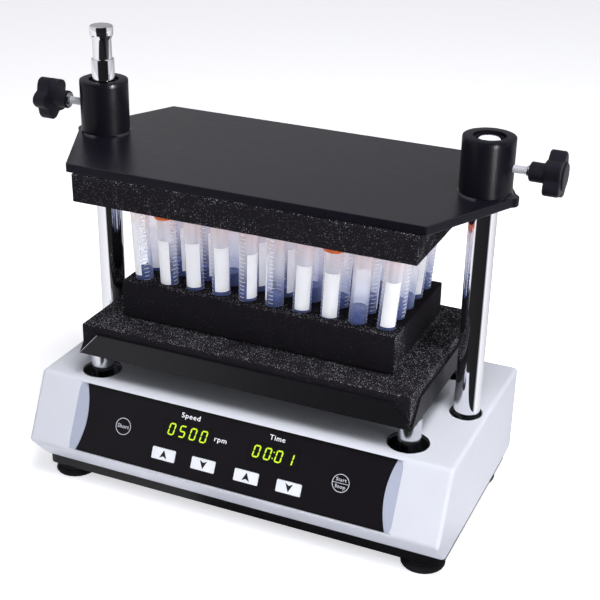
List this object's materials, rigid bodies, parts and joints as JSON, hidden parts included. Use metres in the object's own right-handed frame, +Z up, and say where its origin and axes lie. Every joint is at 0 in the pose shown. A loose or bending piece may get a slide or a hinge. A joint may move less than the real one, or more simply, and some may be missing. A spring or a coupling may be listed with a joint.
{
  "type": "multi-tube vortex mixer",
  "caption": "Bench vortex mixer: sloped keypad housing, orbiting tray with foam tube rack, and a foam-faced pressure plate clamped on two tall posts by star knobs.",
  "frame": {"origin": "on the table, under the centre of the whole footprint, knobs included", "axes": "+Z up, +X to the user's right, -Y towards the user and the keypad"},
  "size_m": [0.5246, 0.245, 0.4354],
  "materials": {
    "housing_paint": "satin light silver grey paint, faintly textured",
    "black_sheet": "smooth black powder coat",
    "black_anodised": "satin black anodised aluminium",
    "panel_gloss": "gloss black membrane",
    "key_white": "white membrane key",
    "display_lens": "smoked lens",
    "chrome": "polished",
    "satin_steel": "satin turned",
    "machined_aluminium": "machined",
    "black_foam": "open cell black foam",
    "black_rubber": "matt",
    "knob_plastic": "matt moulded",
    "brass": "turned",
    "circuit_board": "solder mask",
    "cable_sheath": "matt",
    "ribbon_grey": "matt",
    "motor_steel": "satin",
    "zinc_sheet": "zinc plated"
  },
  "bodies": {
    "base": {"top_housing": "housing_paint", "base_plate": "black_sheet", "front_panel": "panel_gloss", "speed_display": "display_lens", "time_display": "display_lens", "display_board": "circuit_board", "control_board": "circuit_board", "power_supply": "zinc_sheet", "motor": "motor_steel", "motor_bracket": "zinc_sheet", "drive_bearing_block": "machined_aluminium", "main_bearing_lower": "satin_steel", "main_bearing_upper": "satin_steel", "idler_block_left": "machined_aluminium", "idler_block_right": "machined_aluminium", "power_inlet": "knob_plastic", "switch_frame": "knob_plastic", "drive_belt": "black_rubber", "mains_cable": "cable_sheath", "motor_cable": "cable_sheath", "display_ribbon": "ribbon_grey", "foot_front_left": "black_rubber", "foot_front_right": "black_rubber", "foot_rear_left": "black_rubber", "foot_rear_right": "black_rubber"},
    "drive": {"eccentric_shaft": "satin_steel", "drive_pulley": "machined_aluminium", "counterweight": "satin_steel"},
    "motor_rotor": {"motor_pulley": "machined_aluminium"},
    "idler_left": {"idler_crank_left": "satin_steel"},
    "idler_right": {"idler_crank_right": "satin_steel"},
    "table": {"orbit_plate": "machined_aluminium", "hub_bearing": "satin_steel", "support_post_front_left": "satin_steel", "support_post_front_right": "satin_steel", "support_post_rear_left": "satin_steel", "support_post_rear_right": "satin_steel", "clamp_post_left": "chrome", "clamp_post_right": "chrome", "tray": "black_sheet", "base_foam": "black_foam", "tube_foam": "black_foam"},
    "clamp": {"pressure_plate": "black_anodised", "pressure_foam": "black_foam", "collar_left": "black_anodised", "collar_right": "black_anodised"},
    "pad_left": {"screw_pad_left": "brass"},
    "pad_right": {"screw_pad_right": "brass"},
    "knob_left": {"clamp_screw_left": "satin_steel", "clamp_knob_left": "knob_plastic"},
    "knob_right": {"clamp_screw_right": "satin_steel", "clamp_knob_right": "knob_plastic"},
    "short_key": {"short_button": "panel_gloss"},
    "start_stop_key": {"start_stop_button": "panel_gloss"},
    "speed_up_key": {"speed_up_button": "key_white"},
    "speed_down_key": {"speed_down_button": "key_white"},
    "time_up_key": {"time_up_button": "key_white"},
    "time_down_key": {"time_down_button": "key_white"},
    "rocker": {"power_rocker": "knob_plastic"},
    "fuse_holder": {"fuse_drawer": "knob_plastic"}
  },
  "joints": [
    {"name": "drive_spin", "type": "hinge", "parent": "base", "child": "drive", "pos_m": [0.00135, 0.00942, 0.06], "axis": [0, 0, 1], "continuous": true},
    {"name": "table_turn", "type": "hinge", "parent": "drive", "child": "table", "pos_m": [0.00135, 0.01122, 0.088], "axis": [0, 0, 1], "continuous": true},
    {"name": "motor_spin", "type": "hinge", "parent": "base", "child": "motor_rotor", "pos_m": [0.06335, 0.06122, 0.068], "axis": [0, 0, 1], "continuous": true},
    {"name": "idler_spin_left", "type": "hinge", "parent": "base", "child": "idler_left", "pos_m": [-0.11865, 0.00942, 0.06], "axis": [0, 0, 1], "continuous": true},
    {"name": "idler_spin_right", "type": "hinge", "parent": "base", "child": "idler_right", "pos_m": [0.12135, 0.00942, 0.06], "axis": [0, 0, 1], "continuous": true},
    {"name": "clamp_lift", "type": "slide", "parent": "table", "child": "clamp", "axis": [0, 0, 1], "range_m": [0, 0.0557]},
    {"name": "pad_travel_left", "type": "slide", "parent": "clamp", "child": "pad_left", "axis": [-1, 0, 0], "range_m": [0, 0.00376]},
    {"name": "knob_turn_left", "type": "hinge", "parent": "pad_left", "child": "knob_left", "pos_m": [-0.19065, 0.01122, 0.3573], "axis": [-1, 0, 0], "range_deg": [0, 1080]},
    {"name": "pad_travel_right", "type": "slide", "parent": "clamp", "child": "pad_right", "axis": [1, 0, 0], "range_m": [0, 0.00376]},
    {"name": "knob_turn_right", "type": "hinge", "parent": "pad_right", "child": "knob_right", "pos_m": [0.19335, 0.01122, 0.3573], "axis": [1, 0, 0], "range_deg": [0, 1080]},
    {"name": "short_press", "type": "slide", "parent": "base", "child": "short_key", "axis": [0, 0.898, -0.4399], "range_m": [0, 0.0005]},
    {"name": "start_stop_press", "type": "slide", "parent": "base", "child": "start_stop_key", "axis": [0, 0.898, -0.4399], "range_m": [0, 0.0005]},
    {"name": "speed_up_press", "type": "slide", "parent": "base", "child": "speed_up_key", "axis": [0, 0.898, -0.4399], "range_m": [0, 0.0005]},
    {"name": "speed_down_press", "type": "slide", "parent": "base", "child": "speed_down_key", "axis": [0, 0.898, -0.4399], "range_m": [0, 0.0005]},
    {"name": "time_up_press", "type": "slide", "parent": "base", "child": "time_up_key", "axis": [0, 0.898, -0.4399], "range_m": [0, 0.0005]},
    {"name": "time_down_press", "type": "slide", "parent": "base", "child": "time_down_key", "axis": [0, 0.898, -0.4399], "range_m": [0, 0.0005]},
    {"name": "rocker_tip", "type": "hinge", "parent": "base", "child": "rocker", "pos_m": [-0.09365, 0.11782, 0.056], "axis": [1, 0, 0], "range_deg": [0, 20]},
    {"name": "fuse_pull", "type": "slide", "parent": "base", "child": "fuse_holder", "axis": [0, 1, 0], "range_m": [0, 0.02]}
  ],
  "couplings": [
    {"joint": "table_turn", "follows": "drive_spin", "ratio": -1},
    {"joint": "idler_spin_left", "follows": "drive_spin", "ratio": 1},
    {"joint": "idler_spin_right", "follows": "drive_spin", "ratio": 1},
    {"joint": "motor_spin", "follows": "drive_spin", "ratio": 1.6667},
    {"joint": "pad_travel_left", "follows": "knob_turn_left", "m_per_rad": 0.00019894},
    {"joint": "pad_travel_right", "follows": "knob_turn_right", "m_per_rad": 0.00019894}
  ]
}
